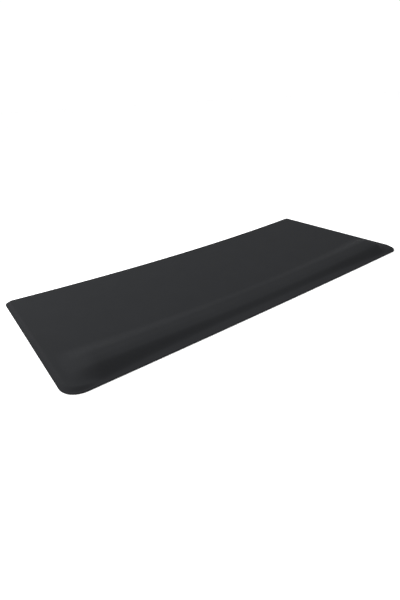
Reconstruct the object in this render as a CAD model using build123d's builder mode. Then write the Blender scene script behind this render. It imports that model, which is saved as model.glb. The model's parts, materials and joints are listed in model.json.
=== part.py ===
"""Anti-fatigue standing mat with a raised foot ridge along its front long side.

The mat is a foam core between a formed top cover and a non-slip base sheet.  The cover and
the base sheet meet in a thin welded rim all round.  The back edge is a shallow concave arc
and the front edge bows out very slightly.
The ridge is a firm foam bar, low in the middle and high near its ends, bonded to the core
under the cover.  The foams and the base sheet are bonded with hot-melt film, and the cover
is moulded straight onto what it covers.

Frame: millimetres, +X along the length, +Y from the ridge side to the back, +Z up.
Origin: centre of the outline's box, on the floor.
"""

import os
from math import asin, atan, cos, sin, tan

from build123d import *

# --- Driving dimensions -----------------------------------------------------------------
LENGTH = 1158.0
DEPTH = 511.0
FRONT_BOW = 3.8  # how far the middle of the front edge bows out
BACK_SAG = 32.0  # how far the middle of the back edge bows in
FRONT_CORNER = 44.0
BACK_CORNER = 20.0

BASE_THICK = 2.2
COVER_THICK = 1.3  # measured straight down, so the formed slopes are a little thinner
FILM_THICK = 0.2
SUPPORT_THICK = 3.2
FLAT_HEIGHT = 10.0  # floor to standing surface

RIM_WIDTH = 2.5  # from the edge to the foot of the bevel, at the sides and back
RIM_ROUND = 0.8
BEVEL_WIDTH = 11.5
BEVEL_ROUND = 14.0  # where the bevel meets the standing surface
SLAB_FRONT_SAG = 36.0  # how much further back the slab starts under the middle of the ridge

# The ridge, as (middle, end) pairs: distances back from the front edge, and its height.  The
# front lines stay nearly straight along the middle and turn forward towards the ends.
TOE_FRONT = (24.0, 0.0)
CREST_FRONT = (70.0, 55.0)
CREST_REAR = (88.0, 72.0)
TOE_REAR = (120.0, 165.0)
CREST_HEIGHT = (14.0, 37.0)
FRONT_TURN = 4  # power that the front lines follow along the length
FRONT_FACE = (0.29, 0.81)  # curve handles: steep low down, then easing over to the crest
REAR_SLOPE = (1 / 3, 1 / 3)
RIDGE_START = 22.7  # from the side edge to where the ridge begins to rise
RIDGE_FULL = 86.0  # from the side edge to where the ridge has its whole height
NOSE_SHIFT = 28.0  # how far the ridge curls back at its ends
TUCK = 0.3  # how far the ridge's toes run under the surfaces that they meet
BAR_EDGE = 1.0  # how thick the ridge bar is where it is trimmed

# Distances from the side edge at which the ridge's cross-section is drawn
STATIONS = (22.7, 28.0, 34.0, 40.0, 48.0, 58.0, 70.0, 86.0, 102.0, 120.0, 160.0, 250.0, 360.0, 480.0)
BAR_END = 40.0  # from the side edge to the last station that crosses the bar
BAR_TIP = 36.5  # from the side edge to the bar's rounded tip

# --- Derived sizes ----------------------------------------------------------------------
HALF_X = LENGTH / 2
HALF_Y = DEPTH / 2
BACK_SLOPE = 2 * atan(BACK_SAG / HALF_X)  # of the back arc where it meets a side, in radians
BACK_TIP = tan(BACK_SLOPE) + 1 / cos(BACK_SLOPE) - 1  # what rounding a back corner takes off, per mm
RIM_TOP = BASE_THICK + COVER_THICK
SUPPORT_BOTTOM = BASE_THICK + FILM_THICK
SUPPORT_TOP = SUPPORT_BOTTOM + SUPPORT_THICK
COMFORT_BOTTOM = SUPPORT_TOP + FILM_THICK
COMFORT_TOP = FLAT_HEIGHT - COVER_THICK
RIDGE_BOTTOM = COMFORT_TOP + FILM_THICK
RIDGE_LOW = FLAT_HEIGHT - TUCK
BAR_TRIM = RIDGE_BOTTOM + BAR_EDGE + COVER_THICK  # outer height over the bar's trimmed edge
ABOVE_RIDGE = CREST_HEIGHT[1] + 10


def smooth_step(share):
    """0 to 1 with level ends."""
    share = min(max(share, 0.0), 1.0)
    return share * share * (3 - 2 * share)


def along(pair, x, power=2):
    """A ridge size at x, from its (middle, end) pair."""
    middle, end = pair
    return middle + (end - middle) * (abs(x) / HALF_X) ** power


def outline(inset=0.0, front_middle=-FRONT_BOW):
    """The mat's outline, moved in by inset; front_middle bows the front edge back."""
    back_radius = BACK_CORNER - inset
    x = HALF_X - inset
    front = inset - HALF_Y + FRONT_BOW
    back = HALF_Y - inset + back_radius * BACK_TIP
    with BuildSketch() as sketch:
        with BuildLine():
            ThreePointArc((-x, front), (0, front + front_middle), (x, front))
            Line((x, front), (x, back))
            ThreePointArc((x, back), (0, back - BACK_SAG), (-x, back))
            Line((-x, back), (-x, front))
        make_face()
        fillet(sketch.vertices().group_by(Axis.Y)[0], FRONT_CORNER - inset)
        fillet(sketch.vertices().group_by(Axis.Y)[-1], back_radius)
    return sketch.sketch


def ridge_lines(x):
    """At x: where the ridge's four lines lie in Y, and the height of its crest."""
    inside = HALF_X - abs(x)
    rise = smooth_step((inside - RIDGE_START) / (RIDGE_FULL - RIDGE_START))
    nose = NOSE_SHIFT * (1 - rise)
    toe_front = along(TOE_FRONT, x, FRONT_TURN) + nose - HALF_Y
    crest_front = along(CREST_FRONT, x, FRONT_TURN) + nose - HALF_Y
    crest_rear = along(CREST_REAR, x) + nose - HALF_Y
    toe_rear = along(TOE_REAR, x) - HALF_Y
    top = RIDGE_LOW + (along(CREST_HEIGHT, x) - RIDGE_LOW) * rise
    return toe_front, crest_front, crest_rear, toe_rear, top


def slope(low, high, handles):
    """A rising or falling curve from its low end to its high end, level at both."""
    run = high[0] - low[0]
    Bezier(low, (low[0] + run * handles[0], low[1]), (high[0] - run * handles[1], high[1]), high)


def slope_crossing(height, low, high, handles):
    """Where in Y such a curve reaches a height."""
    run = high[0] - low[0]
    share = 0.5 - sin(asin(1 - 2 * (height - low[1]) / (high[1] - low[1])) / 3)
    rest = 1 - share
    near_low = 3 * share * rest**2 * handles[0]
    near_high = 3 * share**2 * rest * (1 - handles[1])
    return low[0] + run * (near_low + near_high + share**3)


def ridge_section(x):
    """The ridge's closed cross-section at x, down to the base sheet."""
    toe_front, crest_front, crest_rear, toe_rear, top = ridge_lines(x)
    front_low = RIM_TOP - TUCK
    rear_low = RIDGE_LOW - TUCK
    with BuildSketch(Plane.YZ.offset(x)) as sketch:
        with BuildLine():
            Line((toe_front, BASE_THICK), (toe_front, front_low))
            slope((toe_front, front_low), (crest_front, top), FRONT_FACE)
            Line((crest_front, top), (crest_rear, top))
            slope((toe_rear, rear_low), (crest_rear, top), REAR_SLOPE)
            Line((toe_rear, rear_low), (toe_rear, BASE_THICK))
            Line((toe_rear, BASE_THICK), (toe_front, BASE_THICK))
        make_face()
    return sketch.sketch


def bar_edges(x):
    """Where the front and rear edges of the ridge bar lie in Y at x."""
    toe_front, crest_front, crest_rear, toe_rear, top = ridge_lines(x)
    front_low = (toe_front, RIM_TOP - TUCK)
    rear_low = (toe_rear, RIDGE_LOW - TUCK)
    front = slope_crossing(BAR_TRIM, front_low, (crest_front, top), FRONT_FACE)
    rear = slope_crossing(BAR_TRIM, rear_low, (crest_rear, top), REAR_SLOPE)
    return front, rear


def bar_plan():
    """The ridge bar seen from above."""
    left = [station - HALF_X for station in STATIONS if station >= BAR_END]
    crossings = left + [0.0] + [-x for x in reversed(left)]
    front = [(x, bar_edges(x)[0]) for x in crossings]
    rear = [(x, bar_edges(x)[1]) for x in crossings]
    tip_x = HALF_X - BAR_TIP
    tip_y = (front[0][1] + rear[0][1]) / 2
    with BuildSketch() as sketch:
        with BuildLine():
            Spline(*front)
            ThreePointArc(front[-1], (tip_x, tip_y), rear[-1])
            Spline(*reversed(rear))
            ThreePointArc(rear[0], (-tip_x, tip_y), front[0])
        make_face()
    return sketch.sketch


def keep_between(low, high):
    """Cut the current part down to what lies between two heights."""
    split(bisect_by=Plane.XY.offset(low), keep=Keep.TOP)
    split(bisect_by=Plane.XY.offset(high), keep=Keep.BOTTOM)


def write(piece, name):
    piece.part.label = name
    export_step(piece.part, f"parts/{name}.step")


os.makedirs("parts", exist_ok=True)

# --- Outer form of the ridge, lofted from side to side ----------------------------------
with BuildPart() as ridge_form:
    left = [station - HALF_X for station in STATIONS]
    for x in left + [0.0] + [-x for x in reversed(left)]:
        add(ridge_section(x))
    loft()

# --- Outer form of all that stands above the rim: bevelled slab and ridge ----------------
with BuildPart() as raised_form:
    with BuildSketch(Plane.XY.offset(BASE_THICK)):
        add(outline(RIM_WIDTH, SLAB_FRONT_SAG))
    extrude(amount=FLAT_HEIGHT - BASE_THICK)
    top_face = raised_form.faces().sort_by(Axis.Z)[-1]
    chamfer(top_face.edges(), BEVEL_WIDTH, FLAT_HEIGHT - RIM_TOP, reference=top_face)
    fillet(raised_form.faces().sort_by(Axis.Z)[-1].edges(), BEVEL_ROUND)
    add(ridge_form.part)

# --- What fills the space under the cover -----------------------------------------------
with BuildPart() as core_form:
    add(raised_form.part.moved(Location((0, 0, -COVER_THICK))))
    split(bisect_by=Plane.XY.offset(BASE_THICK), keep=Keep.TOP)

# --- Pieces, from the floor up ----------------------------------------------------------
with BuildPart() as base_sheet:
    with BuildSketch():
        add(outline())
    extrude(amount=BASE_THICK)
write(base_sheet, "base_sheet")

with BuildPart() as base_film:
    add(core_form.part)
    keep_between(BASE_THICK, SUPPORT_BOTTOM)
write(base_film, "base_film")

with BuildPart() as support_core:
    add(core_form.part)
    keep_between(SUPPORT_BOTTOM, SUPPORT_TOP)
write(support_core, "support_core")

with BuildPart() as core_film:
    add(core_form.part)
    keep_between(SUPPORT_TOP, COMFORT_BOTTOM)
write(core_film, "core_film")

with BuildPart() as comfort_layer:
    add(core_form.part)
    keep_between(COMFORT_BOTTOM, COMFORT_TOP)
write(comfort_layer, "comfort_layer")

with BuildPart() as ridge_film:
    with BuildSketch(Plane.XY.offset(COMFORT_TOP)):
        add(bar_plan())
    extrude(amount=FILM_THICK)
write(ridge_film, "ridge_film")

with BuildPart() as ridge_bar:
    with BuildSketch(Plane.XY.offset(RIDGE_BOTTOM)):
        add(bar_plan())
    extrude(amount=ABOVE_RIDGE)
    add(core_form.part, mode=Mode.INTERSECT)
write(ridge_bar, "ridge_bar")

with BuildPart() as top_cover:
    with BuildSketch(Plane.XY.offset(BASE_THICK)):
        add(outline())
    extrude(amount=COVER_THICK)
    fillet(top_cover.edges().group_by(Axis.Z)[-1], RIM_ROUND)
    add(raised_form.part)
    add(base_film.part, mode=Mode.SUBTRACT)
    add(support_core.part, mode=Mode.SUBTRACT)
    add(core_film.part, mode=Mode.SUBTRACT)
    add(comfort_layer.part, mode=Mode.SUBTRACT)
    add(ridge_film.part, mode=Mode.SUBTRACT)
    add(ridge_bar.part, mode=Mode.SUBTRACT)
write(top_cover, "top_cover")
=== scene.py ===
"""Cushioned standing mat with a raised foot ridge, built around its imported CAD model.

The file is laid out as an add-on (settings, one operator for each piece, a panel) and is run
as a script.  Units are metres; +X runs along the mat, +Y from the ridge to the back, +Z up.
"""

import json
import math

import bmesh
import bpy
import numpy as np
from bpy.props import FloatProperty, FloatVectorProperty, PointerProperty
from bpy.types import NodeSocket, Operator, Panel, PropertyGroup
from mathutils import Matrix, Vector


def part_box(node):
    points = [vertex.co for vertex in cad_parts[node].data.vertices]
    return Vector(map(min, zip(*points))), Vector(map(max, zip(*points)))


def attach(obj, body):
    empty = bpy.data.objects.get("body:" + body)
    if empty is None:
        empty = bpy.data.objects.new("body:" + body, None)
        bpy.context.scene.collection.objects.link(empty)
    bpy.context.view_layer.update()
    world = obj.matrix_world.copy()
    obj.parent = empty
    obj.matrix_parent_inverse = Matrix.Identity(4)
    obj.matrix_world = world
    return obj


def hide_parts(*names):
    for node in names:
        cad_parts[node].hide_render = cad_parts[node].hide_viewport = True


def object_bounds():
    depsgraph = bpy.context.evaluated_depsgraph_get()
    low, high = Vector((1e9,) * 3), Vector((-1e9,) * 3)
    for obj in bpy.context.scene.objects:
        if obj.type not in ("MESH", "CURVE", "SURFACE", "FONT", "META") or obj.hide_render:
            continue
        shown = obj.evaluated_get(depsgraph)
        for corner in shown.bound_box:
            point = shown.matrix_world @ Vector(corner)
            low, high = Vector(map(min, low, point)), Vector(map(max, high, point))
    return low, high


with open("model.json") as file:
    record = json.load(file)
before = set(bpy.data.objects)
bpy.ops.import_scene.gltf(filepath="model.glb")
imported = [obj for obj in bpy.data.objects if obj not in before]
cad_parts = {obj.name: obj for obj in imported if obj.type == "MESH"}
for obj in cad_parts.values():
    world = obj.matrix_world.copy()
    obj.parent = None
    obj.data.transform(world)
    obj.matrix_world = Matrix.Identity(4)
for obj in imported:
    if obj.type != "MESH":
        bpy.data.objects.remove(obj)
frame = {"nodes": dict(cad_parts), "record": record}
CAD_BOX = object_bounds()

bl_info = {
    "name": "Standing Mat",
    "version": (1, 0, 0),
    "blender": (4, 5, 0),
    "location": "3D View > Sidebar > Mat",
    "description": "Builds a cushioned standing mat with a raised foot ridge",
    "category": "Object",
}

BODY = "root"
MM = 0.001
EDGE_DISTANCE = "edge_distance"

# edges that turn by more than these angles, in degrees, are shaded sharp
RUBBER_CREASE = 35
FOAM_CREASE = 40
COVER_CREASE = 50


def top_of(node):
    """Height of a CAD node's highest point."""
    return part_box(node)[1].z


def standing_height():
    """Height of the level standing surface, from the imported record."""
    mounts = {mount["name"]: mount for mount in frame["record"]["mounts"]}
    return mounts["standing_face"]["pos_m"][2]


# --- Settings ---------------------------------------------------------------------------


def length_property(name, description, default):
    """A length that can be changed, in metres."""
    return FloatProperty(name=name, description=description, default=default, unit="LENGTH")


def pair_property(name, description, middle, end):
    """A ridge size as it is mid-length and as it would be at the side edge."""
    return FloatVectorProperty(
        name=name, description=description, size=2, default=(middle, end), unit="LENGTH"
    )


def colour_property(name, description, default):
    """A linear colour that can be changed."""
    return FloatVectorProperty(
        name=name, description=description, size=3, default=default, subtype="COLOR", min=0, max=1
    )


class MatPlanSettings(PropertyGroup):
    """The mat's outline and its formed edge."""

    length: length_property("Length", "Side to side", CAD_BOX[1].x - CAD_BOX[0].x)
    depth: length_property("Depth", "Front to back corner", CAD_BOX[1].y - CAD_BOX[0].y)
    front_bow: length_property("Front bow", "How far the front edge bows out", 3.8 * MM)
    back_sag: length_property("Back sag", "How far the back edge bows in", 32 * MM)
    front_corner: length_property("Front corner", "Radius of the front corners", 44 * MM)
    back_corner: length_property("Back corner", "Radius of the back corners", 20 * MM)
    rim_width: length_property("Rim width", "Flat welded rim outside the bevel", 2.5 * MM)
    rim_round: length_property("Rim rounding", "Radius of the rim's upper edge", 0.8 * MM)
    seam: length_property("Seam", "Depth of the groove between cover and base", 0.2 * MM)
    bevel_width: length_property("Bevel width", "Rim to standing surface", 11.5 * MM)


class MatRidgeSettings(PropertyGroup):
    """The foot ridge, as distances back from the front edge and heights."""

    toe_front: pair_property("Front toe", "Where the front face starts", 24 * MM, 0 * MM)
    brow: pair_property("Brow", "Where the steep part of the face ends", 48.5 * MM, 38 * MM)
    crest_front: pair_property("Crest front", "Where the front face ends", 70 * MM, 55 * MM)
    crest_rear: pair_property("Crest rear", "Where the rear slope starts", 88 * MM, 72 * MM)
    toe_rear: pair_property("Rear toe", "Where the rear slope ends", 120 * MM, 165 * MM)
    crest_height: pair_property("Crest height", "Height above the floor", 14 * MM, 37 * MM)
    steep: FloatProperty(
        name="Steep share",
        description="How much of the front face's rise is in its steep part",
        default=0.7,
        min=0,
        max=1,
        subtype="FACTOR",
    )
    start: length_property("Start", "Where the ridge starts to rise, from the side", 22.7 * MM)
    full: length_property("Full", "Where the ridge has all its height, from the side", 86 * MM)
    nose: length_property("Nose", "How far the ridge curls back at its ends", 28 * MM)


class MatLayerSettings(PropertyGroup):
    """Heights of the layers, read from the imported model."""

    cover: length_property("Cover", "Thickness of the cover", 1.3 * MM)
    base_top: length_property("Base top", "Top of the rubber sheet", top_of("base_sheet"))
    core_low: length_property("Core low", "Underside of the core", top_of("base_film"))
    core_top: length_property("Core top", "Top of the core", top_of("support_core"))
    pad_low: length_property("Pad low", "Underside of the soft foam", top_of("core_film"))
    pad_top: length_property("Pad top", "Top of the soft foam", top_of("comfort_layer"))
    bar_low: length_property("Bar low", "Underside of the ridge bar", top_of("ridge_film"))
    bar_edge: length_property("Bar edge", "Thickness of the bar where it is trimmed", 1 * MM)
    flat: length_property("Flat height", "Floor to standing surface", standing_height())


class MatTreadSettings(PropertyGroup):
    """The gripping studs under the rubber sheet."""

    pitch: length_property("Pitch", "From one stud to the next along a row", 16 * MM)
    foot: length_property("Foot", "Radius of a stud on the floor", 1.7 * MM)
    root: length_property("Root", "Radius of a stud at the sheet", 2.4 * MM)
    height: length_property("Height", "How far the studs stand out", 0.6 * MM)
    margin: length_property("Margin", "Plain border without studs", 13 * MM)
    lip: length_property("Lip", "Width of the solid lip round the edge", 6 * MM)


class MatColourSettings(PropertyGroup):
    """Linear colours of the finishes."""

    skin: colour_property("Skin", "Charcoal cover", (0.0144, 0.0150, 0.0162))
    soft_foam: colour_property("Soft foam", "Comfort layer", (0.085, 0.085, 0.090))
    firm_foam: colour_property("Firm foam", "Core and ridge bar", (0.045, 0.045, 0.050))
    rubber: colour_property("Rubber", "Base sheet", (0.013, 0.013, 0.014))
    film: colour_property("Bond film", "Hot-melt film", (0.62, 0.60, 0.54))
    floor: colour_property("Floor", "Studio floor", (0.97, 0.97, 0.97))


SETTINGS = {
    "mat_plan": MatPlanSettings,
    "mat_ridge": MatRidgeSettings,
    "mat_layers": MatLayerSettings,
    "mat_tread": MatTreadSettings,
    "mat_colours": MatColourSettings,
}


# --- Plan of the mat --------------------------------------------------------------------


def span(low, high, steps):
    """Evenly spaced values from low up to, but not including, high."""
    return np.linspace(low, high, steps, endpoint=False)


def side_positions(low, high, end_zone, end_steps, middle_steps):
    """Positions along a straight side, closer together within end_zone of both ends."""
    inner_low, inner_high = low + end_zone[0], high - end_zone[1]
    return np.concatenate(
        [
            span(low, inner_low, end_steps[0]),
            span(inner_low, inner_high, middle_steps),
            span(inner_high, high, end_steps[1]),
        ]
    )


def corner(centre, radius, start, end, steps):
    """Points and inward directions round a corner, from the angle start up to end."""
    angles = np.radians(span(start, end, steps))
    outward = np.stack([np.cos(angles), np.sin(angles)], 1)
    return np.array(centre) + radius * outward, -outward


class Plan:
    """The outline as points with inward directions, four sides of a grid in turn.

    Each side runs from the middle of one rounded corner to the middle of the next, so that
    the loops inside the outline can be joined to one grid of four-sided faces.
    """

    # the zones at the ends of a side, in metres, are divided more finely than its middle
    CORNER_STEPS = 7
    X_ZONE = 0.130
    X_STEPS = 28
    X_MIDDLE = 92
    RIDGE_ZONE = 0.190
    RIDGE_STEPS = 64
    FLAT_STEPS = 22
    BACK_ZONE = 0.012
    BACK_STEPS = 3

    def __init__(self, settings):
        half_x = settings.length / 2
        half_y = settings.depth / 2
        front = self.front_side(half_x, half_y, settings.front_corner, settings.front_bow)
        back = self.back_side(half_x, half_y, settings.back_corner, settings.back_sag)
        right = self.right_side(half_x, front, back, settings)
        # the left side is the right one mirrored and walked the other way
        mirror = np.array([-1.0, 1.0])
        left = [
            np.concatenate([line[1:], start[:1]])[::-1] * mirror
            for line, start in zip(right, back[:2])
        ]
        sides = [front[:2], right, back[:2], left]
        self.counts = [len(side[0]) for side in sides]
        self.points = np.concatenate([side[0] for side in sides])
        self.inward = np.concatenate([side[1] for side in sides])

    def crosswise(self, x):
        """Positions from -x to x, closer together near both ends."""
        return side_positions(-x, x, (self.X_ZONE,) * 2, (self.X_STEPS,) * 2, self.X_MIDDLE)

    def front_side(self, half_x, half_y, radius, bow):
        """The bowed front; its arc's centre is behind it, inside the mat's own side."""
        x = half_x - radius
        arc = (half_x**2 + bow**2) / (2 * bow)
        arc_y = arc - half_y
        y = arc_y - math.sqrt((arc - radius) ** 2 - x**2)
        turn = math.degrees(math.asin(x / (arc - radius)))
        first = corner((-x, y), radius, 225, 270 - turn, self.CORNER_STEPS)
        tilt = np.radians(turn) * self.crosswise(x) / x
        outward = np.stack([np.sin(tilt), -np.cos(tilt)], 1)
        line = np.array([0.0, arc_y]) + arc * outward
        last = corner((x, y), radius, 270 + turn, 315, self.CORNER_STEPS)
        points = np.concatenate([first[0], line, last[0]])
        return points, np.concatenate([first[1], -outward, last[1]]), (x, y)

    def right_side(self, half_x, front, back, settings):
        """The straight right side, with half a corner at each end."""
        first = corner(front[2], settings.front_corner, 315, 360, self.CORNER_STEPS)
        last = corner(back[2], settings.back_corner, 0, 45, self.CORNER_STEPS)
        ys = side_positions(
            front[2][1],
            back[2][1],
            (self.RIDGE_ZONE, self.BACK_ZONE),
            (self.RIDGE_STEPS, self.BACK_STEPS),
            self.FLAT_STEPS,
        )
        line = np.stack([np.full_like(ys, half_x), ys], 1)
        left = np.tile([-1.0, 0.0], (len(ys), 1))
        return np.concatenate([first[0], line, last[0]]), np.concatenate([first[1], left, last[1]])

    def back_side(self, half_x, half_y, radius, sag):
        """From the right corner to the left one; the arc's centre is behind the mat."""
        x = half_x - radius
        slope = 2 * math.atan(sag / half_x)
        tip = radius * (math.tan(slope) + 1 / math.cos(slope) - 1)
        arc = (half_x**2 + sag**2) / (2 * sag)
        arc_y = half_y + tip - sag + arc
        y = arc_y - math.sqrt((arc + radius) ** 2 - x**2)
        turn = math.degrees(math.asin(x / (arc + radius)))
        first = corner((x, y), radius, 45, 90 + turn, self.CORNER_STEPS)
        tilt = -np.radians(turn) * self.crosswise(x) / x
        down = np.stack([np.sin(tilt), -np.cos(tilt)], 1)
        line = np.array([0.0, arc_y]) + arc * down
        last = corner((-x, y), radius, 90 - turn, 135, self.CORNER_STEPS)
        points = np.concatenate([first[0], line, last[0]])
        return points, np.concatenate([first[1], down, last[1]]), (x, y)

    def loop(self, inset):
        """The outline moved in by inset."""
        return self.points + inset * self.inward

    def grid(self, inset):
        """Points that fill the outline moved in by inset, rows from the front to the back."""
        ring = self.loop(inset)
        across, along = self.counts[0], self.counts[1]
        bottom = ring[: across + 1]
        right = ring[across : across + along + 1]
        top = ring[across + along : 2 * across + along + 1][::-1]
        left = np.concatenate([ring[2 * across + along :], ring[:1]])[::-1]
        u = self.shares(bottom)[None, :, None]
        v = self.shares(right)[:, None, None]
        corners = (
            (1 - u) * (1 - v) * bottom[0]
            + u * (1 - v) * bottom[-1]
            + (1 - u) * v * top[0]
            + u * v * top[-1]
        )
        rows = (1 - v) * bottom[None] + v * top[None]
        columns = (1 - u) * left[:, None] + u * right[:, None]
        return rows + columns - corners

    @staticmethod
    def shares(line):
        """How far along a line each of its points is, from 0 to 1."""
        steps = np.linalg.norm(np.diff(line, axis=0), axis=1)
        return np.concatenate([[0.0], np.cumsum(steps)]) / steps.sum()


def plan_sheet(plan, insets):
    """Points, distances from the edge and faces of a flat sheet over the whole outline.

    The loops at insets come first, the outermost one first, and then the grid's inner points.
    """
    count = len(plan.points)
    loops = [plan.loop(inset) for inset in insets]
    grid = plan.grid(insets[-1])
    rows, columns = grid.shape[:2]
    index = np.full((rows, columns), -1)
    last = (len(insets) - 1) * count
    across, along = columns - 1, rows - 1
    index[0, :] = last + np.arange(columns)
    index[:, -1] = last + across + np.arange(rows)
    index[-1, ::-1] = last + across + along + np.arange(columns)
    index[:0:-1, 0] = last + 2 * across + along + np.arange(along)
    index[1:-1, 1:-1] = len(insets) * count + np.arange((rows - 2) * (columns - 2)).reshape(
        rows - 2, columns - 2
    )
    inner = grid[1:-1, 1:-1].reshape(-1, 2)
    points = np.concatenate(loops + [inner])
    distance = np.concatenate([np.repeat(insets, count), np.full(len(inner), insets[-1])])
    faces = []
    step = np.arange(count)
    following = (step + 1) % count
    for ring in range(len(insets) - 1):
        low, high = ring * count, (ring + 1) * count
        faces.append(np.stack([low + step, low + following, high + following, high + step], 1))
    faces.append(
        np.stack([index[:-1, :-1], index[:-1, 1:], index[1:, 1:], index[1:, :-1]], -1).reshape(-1, 4)
    )
    return points, distance, np.concatenate(faces)


def new_mesh_object(name, vertices, faces):
    """A mesh object at the origin."""
    mesh = bpy.data.meshes.new(name)
    mesh.from_pydata([tuple(v) for v in vertices], [], [tuple(f) for f in faces])
    mesh.validate()
    obj = bpy.data.objects.new(name, mesh)
    bpy.context.scene.collection.objects.link(obj)
    return obj


# --- Node helpers -----------------------------------------------------------------------


def feed(tree, socket, value):
    """Link a socket to another one, or set it to a plain value."""
    if isinstance(value, NodeSocket):
        tree.links.new(value, socket)
    else:
        socket.default_value = value


def maths(tree, operation, *values):
    """The result of a maths node, from sockets or plain values."""
    node = tree.nodes.new("ShaderNodeMath")
    node.operation = operation
    for socket, value in zip(node.inputs, values):
        feed(tree, socket, value)
    return node.outputs[0]


def ramp_between(tree, value, low, high, to_low, to_high):
    """Smooth change from to_low to to_high while value goes from low to high."""
    node = tree.nodes.new("ShaderNodeMapRange")
    node.interpolation_type = "SMOOTHSTEP"
    for socket, given in zip(node.inputs, (value, low, high, to_low, to_high)):
        feed(tree, socket, given)
    return node.outputs[0]


def vector(tree, **parts):
    """A vector with the given parts along X, Y or Z, and zero along the rest."""
    node = tree.nodes.new("ShaderNodeCombineXYZ")
    for axis, value in parts.items():
        feed(tree, node.inputs[axis], value)
    return node.outputs[0]


def point_parts(tree):
    """Where each point is, as separate X, Y and Z."""
    place = tree.nodes.new("GeometryNodeInputPosition")
    split = tree.nodes.new("ShaderNodeSeparateXYZ")
    tree.links.new(place.outputs[0], split.inputs[0])
    return split.outputs


def edge_distance_field(tree):
    """Each point's distance from the outline, as the sheet carries it."""
    named = tree.nodes.new("GeometryNodeInputNamedAttribute")
    named.data_type = "FLOAT"
    named.inputs["Name"].default_value = EDGE_DISTANCE
    return named.outputs["Attribute"]


def moved(tree, geometry, offset):
    """Geometry with its points moved by an offset."""
    node = tree.nodes.new("GeometryNodeSetPosition")
    tree.links.new(geometry, node.inputs["Geometry"])
    tree.links.new(offset, node.inputs["Offset"])
    return node.outputs["Geometry"]


def node_group(name, titles):
    """A geometry node tree with named number inputs, and its input node."""
    tree = bpy.data.node_groups.new(name, "GeometryNodeTree")
    tree.interface.new_socket(name="Geometry", in_out="INPUT", socket_type="NodeSocketGeometry")
    tree.interface.new_socket(name="Geometry", in_out="OUTPUT", socket_type="NodeSocketGeometry")
    for title in titles:
        tree.interface.new_socket(name=title, in_out="INPUT", socket_type="NodeSocketFloat")
    return tree, tree.nodes.new("NodeGroupInput")


def close_group(tree, geometry, material):
    """End a tree in Realize Instances and Set Material."""
    realize = tree.nodes.new("GeometryNodeRealizeInstances")
    finish = tree.nodes.new("GeometryNodeSetMaterial")
    finish.inputs["Material"].default_value = material
    out = tree.nodes.new("NodeGroupOutput")
    tree.links.new(geometry, realize.inputs[0])
    tree.links.new(realize.outputs[0], finish.inputs["Geometry"])
    tree.links.new(finish.outputs[0], out.inputs[0])


def run_group(obj, tree, values):
    """Apply a node tree to an object for good: the result is a plain mesh."""
    modifier = obj.modifiers.new(tree.name, "NODES")
    modifier.node_group = tree
    for item in tree.interface.items_tree:
        if item.in_out == "INPUT" and item.name in values:
            modifier[item.identifier] = values[item.name]
    graph = bpy.context.evaluated_depsgraph_get()
    graph.update()
    made = bpy.data.meshes.new_from_object(obj.evaluated_get(graph), depsgraph=graph)
    obj.modifiers.remove(modifier)
    old = obj.data
    obj.data = made
    made.name = obj.name
    bpy.data.meshes.remove(old)


# --- The formed surface -----------------------------------------------------------------

# the front lines follow the fourth power along the length, the others the second
FRONT_LINES = {"Front Toe": "toe_front", "Brow": "brow", "Crest Front": "crest_front"}
OTHER_LINES = {"Crest Rear": "crest_rear", "Rear Toe": "toe_rear", "Crest Height": "crest_height"}
PAIRS = {**FRONT_LINES, **OTHER_LINES}
SURFACE_SIZES = (
    "Half Length",
    "Half Depth",
    "Rim Height",
    "Rim Width",
    "Bevel Width",
    "Flat Height",
    "Ridge Start",
    "Ridge Full",
    "Nose Shift",
    "Steep Share",
)


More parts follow.
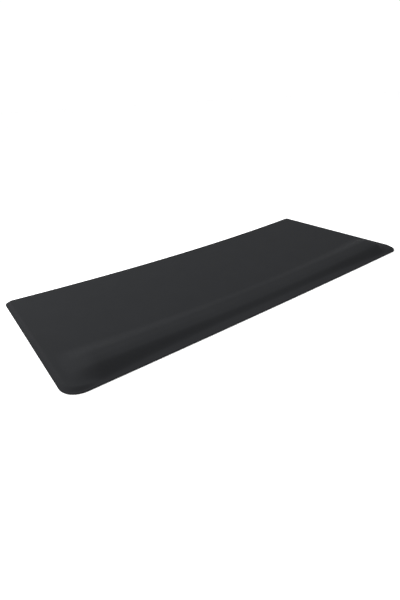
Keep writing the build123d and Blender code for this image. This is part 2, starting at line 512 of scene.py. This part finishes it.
def formed_surface_tree(material):
    """Lifts a flat sheet to the mat's upper surface: rim, bevel, standing surface, ridge.

    The sheet carries edge_distance, each point's distance from the outline.
    """
    line_sizes = [f"{title} {where}" for title in PAIRS for where in ("Middle", "End")]
    tree, given = node_group("Formed Surface", (*SURFACE_SIZES, *line_sizes))
    size = given.outputs
    place = point_parts(tree)
    edge = edge_distance_field(tree)
    aside = maths(tree, "ABSOLUTE", place["X"])
    back = maths(tree, "ADD", place["Y"], size["Half Depth"])
    share = maths(tree, "DIVIDE", aside, size["Half Length"])
    square = maths(tree, "MULTIPLY", share, share)
    fourth = maths(tree, "MULTIPLY", square, square)
    at = {}
    for title in PAIRS:
        middle, end = size[f"{title} Middle"], size[f"{title} End"]
        change = maths(tree, "SUBTRACT", end, middle)
        bend = fourth if title in FRONT_LINES else square
        at[title] = maths(tree, "MULTIPLY_ADD", change, bend, middle)
    inside = maths(tree, "SUBTRACT", size["Half Length"], aside)
    rise = ramp_between(tree, inside, size["Ridge Start"], size["Ridge Full"], 0.0, 1.0)
    nose = maths(tree, "MULTIPLY", maths(tree, "SUBTRACT", 1.0, rise), size["Nose Shift"])
    for title in (*FRONT_LINES, "Crest Rear"):
        at[title] = maths(tree, "ADD", at[title], nose)
    rim, flat, crest = size["Rim Height"], size["Flat Height"], at["Crest Height"]
    foot = maths(tree, "ADD", size["Rim Width"], size["Bevel Width"])
    slab = ramp_between(tree, edge, size["Rim Width"], foot, rim, flat)
    steep = ramp_between(tree, back, at["Front Toe"], at["Brow"], 0.0, size["Steep Share"])
    easy_share = maths(tree, "SUBTRACT", 1.0, size["Steep Share"])
    easy = ramp_between(tree, back, at["Front Toe"], at["Crest Front"], 0.0, easy_share)
    climb = maths(tree, "SUBTRACT", crest, rim)
    front = maths(tree, "MULTIPLY_ADD", maths(tree, "ADD", steep, easy), climb, rim)
    rear = ramp_between(tree, back, at["Crest Rear"], at["Rear Toe"], crest, flat)
    ridge = maths(tree, "MINIMUM", front, rear)
    before_middle = maths(tree, "LESS_THAN", back, size["Half Depth"])
    rise = maths(tree, "MULTIPLY", rise, before_middle)
    gain = maths(tree, "SUBTRACT", ridge, slab)
    height = maths(tree, "MULTIPLY_ADD", gain, rise, slab)
    close_group(tree, moved(tree, size["Geometry"], vector(tree, Z=height)), material)
    return tree


def surface_values(scene):
    """The formed surface's inputs, from the settings."""
    plan, ridge, layers = scene.mat_plan, scene.mat_ridge, scene.mat_layers
    values = {
        "Half Length": plan.length / 2,
        "Half Depth": plan.depth / 2,
        "Rim Height": layers.base_top + layers.cover,
        "Rim Width": plan.rim_width,
        "Bevel Width": plan.bevel_width,
        "Flat Height": layers.flat,
        "Ridge Start": ridge.start,
        "Ridge Full": ridge.full,
        "Nose Shift": ridge.nose,
        "Steep Share": ridge.steep,
    }
    for title, name in PAIRS.items():
        values[f"{title} Middle"], values[f"{title} End"] = getattr(ridge, name)
    return values


# degrees round the rim's upper edge at which a loop lies
ROUNDING_ANGLES = (0, 22, 45, 67, 90)
BEVEL_LOOPS = 13
LOOPS_PAST_BEVEL = (1.5 * MM, 3.5 * MM)


def edge_insets(plan):
    """Distances from the outline at which the sheet's loops lie."""
    rim_round = plan.rim_round
    rounding = [rim_round * (1 - math.cos(math.radians(a))) for a in ROUNDING_ANGLES]
    foot = plan.rim_width + plan.bevel_width
    bevel = list(np.linspace(plan.rim_width, foot, BEVEL_LOOPS))
    mid_rim = (rim_round + plan.rim_width) / 2
    return rounding + [mid_rim] + bevel + [foot + past for past in LOOPS_PAST_BEVEL]


def coordinates(mesh):
    """A mesh's vertices as rows of x, y, z."""
    values = np.empty(len(mesh.vertices) * 3)
    mesh.vertices.foreach_get("co", values)
    return values.reshape(-1, 3)


def store_edge_distance(mesh, distance):
    """Keep each vertex's distance from the outline with the mesh."""
    store = mesh.attributes.new(EDGE_DISTANCE, "FLOAT", "POINT")
    store.data.foreach_set("value", distance.astype(np.float32))


def formed_surface(name, scene, material):
    """The upper surface as an object, with its heights made by the node tree."""
    plan = Plan(scene.mat_plan)
    points, distance, faces = plan_sheet(plan, edge_insets(scene.mat_plan))
    flat = np.column_stack([points, np.zeros(len(points))])
    obj = new_mesh_object(name, flat, faces)
    store_edge_distance(obj.data, distance)
    run_group(obj, formed_surface_tree(material), surface_values(scene))
    return obj, plan, coordinates(obj.data), distance, faces


def closed_sheet(upper, lower, faces, border):
    """Vertices and faces of the solid between two matching sheets, joined round the border."""
    count = len(upper)
    step = np.arange(border)
    following = (step + 1) % border
    wall = np.stack([following, step, count + step, count + following], 1)
    return np.concatenate([upper, lower]), np.concatenate([faces, faces[:, ::-1] + count, wall])


def swap_mesh(obj, mesh):
    """Give an object another mesh with the same materials, and drop its old one."""
    old = obj.data
    for material in old.materials:
        mesh.materials.append(material)
    mesh.name = obj.name
    obj.data = mesh
    bpy.data.meshes.remove(old)


def cut_at(shape, height, above):
    """Keep what lies above a height, or below it."""
    everything = shape.verts[:] + shape.edges[:] + shape.faces[:]
    bmesh.ops.bisect_plane(
        shape,
        geom=everything,
        plane_co=(0, 0, height),
        plane_no=(0, 0, 1),
        clear_inner=above,
        clear_outer=not above,
    )


def open_edges(shape):
    """Edges with a face on one side only."""
    return [edge for edge in shape.edges if len(edge.link_faces) == 1]


def close_shape(shape, obj):
    """Cap a cut foam or film shape, put it in the object and shade it."""
    bmesh.ops.holes_fill(shape, edges=open_edges(shape), sides=0)
    bmesh.ops.recalc_face_normals(shape, faces=shape.faces)
    if open_edges(shape):
        raise RuntimeError(f"{obj.name} is not closed")
    mesh = bpy.data.meshes.new(obj.name)
    shape.to_mesh(mesh)
    shape.free()
    swap_mesh(obj, mesh)
    soften(mesh, FOAM_CREASE)


def lowered_shape(obj, under):
    """What the cover's underside rests on, as a shape to cut: the formed surface, lowered."""
    shape = bmesh.new()
    shape.from_mesh(obj.data)
    bmesh.ops.translate(shape, verts=shape.verts, vec=(0, 0, -under))
    return shape


def cut_layer(name, scene, material, low, high):
    """A layer of the mat between two heights, as wide as the cover leaves it."""
    obj = formed_surface(name, scene, material)[0]
    shape = lowered_shape(obj, scene.mat_layers.cover)
    cut_at(shape, low, above=True)
    cut_at(shape, high, above=False)
    close_shape(shape, obj)
    return obj


def soften(mesh, degrees):
    """Smooth shading, with edges sharper than an angle kept sharp."""
    mesh.shade_smooth()
    mesh.set_sharp_from_angle(angle=math.radians(degrees))


def finish_piece(obj, node):
    """Hide the CAD node a piece stands for, and attach the piece to the body."""
    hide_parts(node)
    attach(obj, BODY)


# --- The tread --------------------------------------------------------------------------


TREAD_SIZES = ("Length", "Depth", "Pitch", "Foot Radius", "Root Radius", "Stud Height", "Margin")
STUD_SIDES = 12
# a stud is a fifth longer than it stands out, so that its root lies inside the sheet
STUD_LENGTH = 1.2


def stud_grid(tree, size, row_pitch):
    """Points in staggered rows, half a stud's height up."""
    grid = tree.nodes.new("GeometryNodeMeshGrid")
    across = odd_count(tree, size["Length"], size["Pitch"])
    rows = odd_count(tree, size["Depth"], row_pitch)
    feed(tree, grid.inputs["Vertices X"], across)
    feed(tree, grid.inputs["Vertices Y"], rows)
    one_less = maths(tree, "SUBTRACT", across, 1.0)
    feed(tree, grid.inputs["Size X"], maths(tree, "MULTIPLY", one_less, size["Pitch"]))
    one_less = maths(tree, "SUBTRACT", rows, 1.0)
    feed(tree, grid.inputs["Size Y"], maths(tree, "MULTIPLY", one_less, row_pitch))
    # every other row moves along by half a pitch
    row = maths(tree, "ROUND", maths(tree, "DIVIDE", point_parts(tree)["Y"], row_pitch))
    odd = maths(tree, "FLOORED_MODULO", row, 2.0)
    along = maths(tree, "MULTIPLY", odd, maths(tree, "MULTIPLY", size["Pitch"], 0.5))
    up = maths(tree, "MULTIPLY", size["Stud Height"], 0.5)
    return moved(tree, grid.outputs["Mesh"], vector(tree, X=along, Z=up))


def far_from_edge(tree, given, margin):
    """Whether the sheet above a point is further in from its edge than the margin."""
    look_up = tree.nodes.new("GeometryNodeRaycast")
    look_up.data_type = "FLOAT"
    tree.links.new(given.outputs["Geometry"], look_up.inputs["Target Geometry"])
    tree.links.new(edge_distance_field(tree), look_up.inputs["Attribute"])
    look_up.inputs["Ray Direction"].default_value = (0.0, 0.0, 1.0)
    look_up.inputs["Ray Length"].default_value = 1.0
    far_in = maths(tree, "GREATER_THAN", look_up.outputs["Attribute"], margin)
    return maths(tree, "MULTIPLY", look_up.outputs["Is Hit"], far_in)


def tread_tree(material):
    """Adds rows of low studs under a sheet, wherever it is far enough from its edge."""
    tree, given = node_group("Tread", TREAD_SIZES)
    size = given.outputs
    # rows of a triangular grid lie closer than the studs in a row
    row_pitch = maths(tree, "MULTIPLY", size["Pitch"], math.sqrt(0.75))
    stud = tree.nodes.new("GeometryNodeMeshCone")
    stud.inputs["Vertices"].default_value = STUD_SIDES
    feed(tree, stud.inputs["Radius Top"], size["Root Radius"])
    feed(tree, stud.inputs["Radius Bottom"], size["Foot Radius"])
    feed(tree, stud.inputs["Depth"], maths(tree, "MULTIPLY", size["Stud Height"], STUD_LENGTH))
    scatter = tree.nodes.new("GeometryNodeInstanceOnPoints")
    tree.links.new(stud_grid(tree, size, row_pitch), scatter.inputs["Points"])
    tree.links.new(far_from_edge(tree, given, size["Margin"]), scatter.inputs["Selection"])
    tree.links.new(stud.outputs["Mesh"], scatter.inputs["Instance"])
    # down again, so that the studs end level with the lip
    lower = tree.nodes.new("GeometryNodeTranslateInstances")
    down = maths(tree, "MULTIPLY", size["Stud Height"], -0.5)
    tree.links.new(scatter.outputs["Instances"], lower.inputs["Instances"])
    tree.links.new(vector(tree, Z=down), lower.inputs["Translation"])
    join = tree.nodes.new("GeometryNodeJoinGeometry")
    tree.links.new(given.outputs["Geometry"], join.inputs[0])
    tree.links.new(lower.outputs["Instances"], join.inputs[0])
    close_group(tree, join.outputs[0], material)
    return tree


def odd_count(tree, length, pitch):
    """How many steps fit in a length, made odd so that one falls in the middle."""
    two_pitches = maths(tree, "MULTIPLY", pitch, 2.0)
    pairs = maths(tree, "FLOOR", maths(tree, "DIVIDE", length, two_pitches))
    return maths(tree, "MULTIPLY_ADD", pairs, 2.0, 1.0)


# --- Materials --------------------------------------------------------------------------


def new_material(name):
    """An empty principled material: its tree, shader and object coordinates."""
    material = bpy.data.materials.new(name)
    material.use_nodes = True
    tree = material.node_tree
    shader = tree.nodes["Principled BSDF"]
    place = tree.nodes.new("ShaderNodeTexCoord").outputs["Object"]
    return material, tree, shader, place


def noise(tree, place, scale, detail=3.0):
    """Cloudy variation from 0 to 1, finer as the scale grows."""
    node = tree.nodes.new("ShaderNodeTexNoise")
    node.inputs["Scale"].default_value = scale
    node.inputs["Detail"].default_value = detail
    tree.links.new(place, node.inputs["Vector"])
    return node.outputs["Fac"]


def cells(tree, place, scale, feature="F1"):
    """Distances in a pattern of irregular cells, about this many to a metre."""
    node = tree.nodes.new("ShaderNodeTexVoronoi")
    node.feature = feature
    node.inputs["Scale"].default_value = scale
    tree.links.new(place, node.inputs["Vector"])
    return node.outputs["Distance"]


def between(tree, factor, low, high):
    """A value that runs evenly from low to high as factor goes from 0 to 1."""
    node = tree.nodes.new("ShaderNodeMapRange")
    for socket, given in zip(node.inputs, (factor, 0.0, 1.0, low, high)):
        feed(tree, socket, given)
    return node.outputs[0]


def tinted(tree, factor, colour, low, high):
    """A colour that varies from low to high times itself with factor."""
    node = tree.nodes.new("ShaderNodeMix")
    node.data_type = "RGBA"
    feed(tree, node.inputs["Factor"], factor)
    node.inputs["A"].default_value = tuple(c * low for c in colour) + (1.0,)
    node.inputs["B"].default_value = tuple(c * high for c in colour) + (1.0,)
    return node.outputs["Result"]


def bumped(tree, shader, height, distance, strength=1.0):
    """Give a shader a relief from a height pattern."""
    node = tree.nodes.new("ShaderNodeBump")
    node.inputs["Strength"].default_value = strength
    node.inputs["Distance"].default_value = distance
    tree.links.new(height, node.inputs["Height"])
    tree.links.new(node.outputs["Normal"], shader.inputs["Normal"])


def skin_material(colour):
    """Matt moulded skin: a fine pebble grain, faint mottling, a soft sheen."""
    material, tree, shader, place = new_material("moulded_skin")
    mottle = noise(tree, place, scale=14.0, detail=4.0)
    shade = tinted(tree, mottle, colour, low=0.94, high=1.06)
    tree.links.new(shade, shader.inputs["Base Color"])
    pebble = cells(tree, place, scale=900.0, feature="SMOOTH_F1")
    fine = noise(tree, place, scale=2600.0, detail=2.0)
    grain = maths(tree, "MULTIPLY_ADD", fine, 0.35, pebble)
    rough = between(tree, noise(tree, place, scale=320.0), low=0.70, high=0.82)
    tree.links.new(rough, shader.inputs["Roughness"])
    shader.inputs["Specular IOR Level"].default_value = 0.02
    bumped(tree, shader, grain, distance=0.12 * MM, strength=0.6)
    return material


def foam_material(name, colour, cell_size):
    """Cut foam: open cells of a given size over a soft mottled ground, with painted shade in each
    cell's hollow.
    """
    material, tree, shader, place = new_material(name)
    pores = cells(tree, place, scale=1 / cell_size)
    clumps = noise(tree, place, scale=1 / (12 * cell_size))
    # painted shade: the colour is darkest in each cell's hollow, where the bump is lowest
    shade = maths(tree, "MULTIPLY_ADD", pores, 0.7, clumps)
    tree.links.new(tinted(tree, shade, colour, low=0.65, high=1.20), shader.inputs["Base Color"])
    tree.links.new(between(tree, clumps, low=0.86, high=0.97), shader.inputs["Roughness"])
    shader.inputs["Specular IOR Level"].default_value = 0.2
    bumped(tree, shader, pores, distance=0.5 * cell_size)
    return material


# radians to a metre, so that the press mark repeats about every 1.5 mm
PRESS_MARK = 4200.0


def rubber_material(colour):
    """Calendered rubber: a close woven press mark with faint bloom."""
    material, tree, shader, place = new_material("base_rubber")
    split = tree.nodes.new("ShaderNodeSeparateXYZ")
    tree.links.new(place, split.inputs[0])
    weave = maths(
        tree,
        "MULTIPLY",
        maths(tree, "SINE", maths(tree, "MULTIPLY", split.outputs["X"], PRESS_MARK)),
        maths(tree, "SINE", maths(tree, "MULTIPLY", split.outputs["Y"], PRESS_MARK)),
    )
    bloom = noise(tree, place, scale=40.0, detail=5.0)
    tree.links.new(tinted(tree, bloom, colour, low=0.8, high=1.35), shader.inputs["Base Color"])
    tree.links.new(between(tree, bloom, low=0.62, high=0.80), shader.inputs["Roughness"])
    shader.inputs["Specular IOR Level"].default_value = 0.2
    relief = maths(tree, "MULTIPLY_ADD", bloom, 0.4, weave)
    bumped(tree, shader, relief, distance=0.05 * MM, strength=0.7)
    return material


def film_material(colour):
    """Hot-melt film: milky, with a faint web of set adhesive."""
    material, tree, shader, place = new_material("bond_film")
    web = cells(tree, place, scale=220.0, feature="DISTANCE_TO_EDGE")
    cloud = noise(tree, place, scale=30.0, detail=4.0)
    tree.links.new(tinted(tree, cloud, colour, low=0.85, high=1.05), shader.inputs["Base Color"])
    tree.links.new(between(tree, cloud, low=0.30, high=0.50), shader.inputs["Roughness"])
    bumped(tree, shader, web, distance=0.1 * MM, strength=0.5)
    return material


def floor_material(colour):
    """Smooth painted studio floor."""
    material, tree, shader, place = new_material("studio_floor")
    cloud = noise(tree, place, scale=3.0, detail=2.0)
    tree.links.new(tinted(tree, cloud, colour, low=0.995, high=1.0), shader.inputs["Base Color"])
    shader.inputs["Roughness"].default_value = 0.9
    shader.inputs["Specular IOR Level"].default_value = 0.1
    return material


# --- Pieces -----------------------------------------------------------------------------


class MAT_OT_base_sheet(Operator):
    """Make the rubber base sheet with its lip and gripping studs"""

    bl_idname = "mat.base_sheet"
    bl_label = "Base Sheet"

    def execute(self, context):
        scene = context.scene
        layers, tread = scene.mat_layers, scene.mat_tread
        plan = Plan(scene.mat_plan)
        material = rubber_material(scene.mat_colours.rubber)
        chamfer = 0.2 * MM
        # the underside from the edge inwards: rounded, then the lip, then the sheet proper
        underside = (
            (0.0, 0.7 * MM),
            (chamfer, 0.4 * MM),
            (0.5 * MM, 0.15 * MM),
            (1 * MM, 0.0),
            (tread.lip, 0.0),
            (tread.lip + 1 * MM, tread.height),
        )
        runs, heights = zip(*underside)
        points, distance, faces = plan_sheet(plan, [*runs, tread.margin])
        upper = np.column_stack([points, np.full(len(points), layers.base_top)])
        lower = np.column_stack([points, np.full(len(points), tread.height)])
        upper[:, 2] -= np.interp(distance, (0, chamfer), (chamfer, 0))
        lower[:, 2] = np.interp(distance, runs, heights)
        vertices, shell = closed_sheet(upper, lower, faces, len(plan.points))
        obj = new_mesh_object("base_sheet_tread", vertices, shell)
        store_edge_distance(obj.data, np.concatenate([distance, distance]))
        values = {
            "Length": scene.mat_plan.length,
            "Depth": scene.mat_plan.depth,
            "Pitch": tread.pitch,
            "Foot Radius": tread.foot,
            "Root Radius": tread.root,
            "Stud Height": tread.height,
            # the sheet's distances stop at the margin, so the test is just short of it
            "Margin": tread.margin - 0.1 * MM,
        }
        run_group(obj, tread_tree(material), values)
        soften(obj.data, RUBBER_CREASE)
        finish_piece(obj, "base_sheet")
        return {"FINISHED"}


class MAT_OT_bond_films(Operator):
    """Cut the film between the foams and give all three films their finish"""

    bl_idname = "mat.bond_films"
    bl_label = "Bond Films"

    def execute(self, context):
        scene = context.scene
        layers = scene.mat_layers
        material = film_material(scene.mat_colours.film)
        cut = cut_layer("core_film_cut", scene, material, layers.core_top, layers.pad_low)
        finish_piece(cut, "core_film")
        for name in ("base_film", "ridge_film"):
            slots = frame["nodes"][name].data.materials
            slots.clear()
            slots.append(material)
        return {"FINISHED"}


class MAT_OT_foams(Operator):
    """Cut the foam sheets and the ridge bar to the form of the cover"""

    bl_idname = "mat.foams"
    bl_label = "Foams"

    def execute(self, context):
        scene = context.scene
        layers, colours = scene.mat_layers, scene.mat_colours
        soft = foam_material("soft_foam", colours.soft_foam, 0.7 * MM)
        firm = foam_material("firm_foam", colours.firm_foam, 0.4 * MM)
        self.sheet(scene, "support_core", firm, layers.core_low, layers.core_top)
        # just short of the level top, which would otherwise lie in the cutting plane
        pad_cut = layers.pad_top - 0.02 * MM
        self.sheet(scene, "comfort_layer", soft, layers.pad_low, pad_cut)
        self.bar(scene, firm)
        return {"FINISHED"}

    def sheet(self, scene, node, material, low, high):
        """A foam sheet between two heights."""
        obj = cut_layer(f"{node}_foam", scene, material, low, high)
        finish_piece(obj, node)

    def bar(self, scene, material):
        """The ridge bar, with an upright edge where it is trimmed."""
        layers = scene.mat_layers
        obj = formed_surface("ridge_bar_foam", scene, material)[0]
        shape = lowered_shape(obj, layers.cover)
        cut_at(shape, layers.bar_low + layers.bar_edge, above=True)
        wall = bmesh.ops.extrude_edge_only(shape, edges=open_edges(shape))["geom"]
        for vertex in [item for item in wall if isinstance(item, bmesh.types.BMVert)]:
            vertex.co.z = layers.bar_low
        close_shape(shape, obj)
        finish_piece(obj, "ridge_bar")


class MAT_OT_top_cover(Operator):
    """Make the formed cover: standing surface, ridge, bevels and welded rim"""

    bl_idname = "mat.top_cover"
    bl_label = "Top Cover"

    def execute(self, context):
        scene = context.scene
        layers, settings = scene.mat_layers, scene.mat_plan
        material = skin_material(scene.mat_colours.skin)
        obj, plan, upper, distance, faces = formed_surface("top_cover_skin", scene, material)
        lower = upper.copy()
        lower[:, 2] = np.maximum(upper[:, 2] - layers.cover, layers.base_top)
        lower[:, 2] += np.interp(distance, (0, settings.seam), (settings.seam, 0))
        run = np.maximum(settings.rim_round - distance, 0)
        upper[:, 2] -= settings.rim_round - np.sqrt(settings.rim_round**2 - run**2)
        mesh = bpy.data.meshes.new(obj.name)
        vertices, shell = closed_sheet(upper, lower, faces, len(plan.points))
        mesh.from_pydata(vertices.tolist(), [], shell.tolist())
        swap_mesh(obj, mesh)
        soften(mesh, COVER_CREASE)
        finish_piece(obj, "top_cover")
        return {"FINISHED"}


# --- Stage ------------------------------------------------------------------------------


FLOOR_HALF = 40.0
FLOOR_GAP = 0.05 * MM
WORLD_STRENGTH = 1.04
SOFT_BOX_WIDTH = 3.2
SOFT_BOX_POWER = 122.0
SOFT_BOX_DIRECTION = Vector((-0.49, 0.52, 0.70))
SOFT_BOX_DISTANCE = 2.8

# focal length and sensor width in millimetres, place in metres, angles in degrees
CAMERA_LENS = 23.016
CAMERA_SENSOR = 36.0
CAMERA_PLACE = (-0.6835, -0.8521, 0.4928)
CAMERA_HEADING = -35.172
CAMERA_DOWN = 28.015
CAMERA_ROLL = -3.044


class MAT_OT_stage(Operator):
    """Make the floor, the lights and the camera"""

    bl_idname = "mat.stage"
    bl_label = "Stage"

    def execute(self, context):
        scene = context.scene
        self.floor(scene)
        self.lights(scene)
        self.camera(scene)
        scene.view_settings.view_transform = "Standard"
        return {"FINISHED"}

    def floor(self, scene):
        """A wide pale floor, just clear of the mat's underside."""
        corners = [(-1, -1), (1, -1), (1, 1), (-1, 1)]
        vertices = [(FLOOR_HALF * x, FLOOR_HALF * y, -FLOOR_GAP) for x, y in corners]
        obj = new_mesh_object("studio_floor", vertices, [(0, 1, 2, 3)])
        obj.data.materials.append(floor_material(scene.mat_colours.floor))

    def lights(self, scene):
        """An even white surround, and one large soft light above the back left."""
        world = bpy.data.worlds.new("studio_world")
        world.use_nodes = True
        scene.world = world
        ground = world.node_tree.nodes["Background"]
        ground.inputs["Color"].default_value = (1.0, 1.0, 1.0, 1.0)
        ground.inputs["Strength"].default_value = WORLD_STRENGTH
        data = bpy.data.lights.new("soft_box", "AREA")
        data.shape = "DISK"
        data.size = SOFT_BOX_WIDTH
        data.energy = SOFT_BOX_POWER
        obj = bpy.data.objects.new("soft_box", data)
        turn = SOFT_BOX_DIRECTION.to_track_quat("Z", "Y").to_matrix().to_4x4()
        obj.matrix_world = Matrix.Translation(SOFT_BOX_DIRECTION * SOFT_BOX_DISTANCE) @ turn
        obj.visible_camera = False
        scene.collection.objects.link(obj)

    def camera(self, scene):
        """A camera in front of the mat's left end, looking down across it."""
        data = bpy.data.cameras.new("studio_camera")
        data.lens = CAMERA_LENS
        data.sensor_width = CAMERA_SENSOR
        obj = bpy.data.objects.new("studio_camera", data)
        heading = Matrix.Rotation(math.radians(CAMERA_HEADING), 4, "Z")
        pitch = Matrix.Rotation(math.radians(90 - CAMERA_DOWN), 4, "X")
        roll = Matrix.Rotation(math.radians(CAMERA_ROLL), 4, "Z")
        obj.matrix_world = Matrix.Translation(CAMERA_PLACE) @ heading @ pitch @ roll
        scene.collection.objects.link(obj)
        scene.camera = obj


OPERATORS = (
    MAT_OT_base_sheet,
    MAT_OT_bond_films,
    MAT_OT_foams,
    MAT_OT_top_cover,
    MAT_OT_stage,
)


class VIEW3D_PT_mat(Panel):
    """Lists the mat's settings and steps in the sidebar"""

    bl_label = "Standing Mat"
    bl_space_type = "VIEW_3D"
    bl_region_type = "UI"
    bl_category = "Mat"

    def draw(self, context):
        for step in OPERATORS:
            self.layout.operator(step.bl_idname)
        for name, group in SETTINGS.items():
            box = self.layout.box()
            settings = getattr(context.scene, name)
            for prop in group.__annotations__:
                box.prop(settings, prop)


CLASSES = tuple(SETTINGS.values()) + OPERATORS + (VIEW3D_PT_mat,)


def register():
    """Add the classes to Blender, and the settings to its scenes."""
    for cls in CLASSES:
        bpy.utils.register_class(cls)
    for name, group in SETTINGS.items():
        setattr(bpy.types.Scene, name, PointerProperty(type=group))


def unregister():
    """Take back what register added."""
    for name in SETTINGS:
        delattr(bpy.types.Scene, name)
    for cls in reversed(CLASSES):
        bpy.utils.unregister_class(cls)


def main():
    """Build the mat and its stage."""
    register()
    bpy.ops.mat.base_sheet()
    bpy.ops.mat.bond_films()
    bpy.ops.mat.foams()
    bpy.ops.mat.top_cover()
    bpy.ops.mat.stage()


if __name__ == "__main__":
    main()
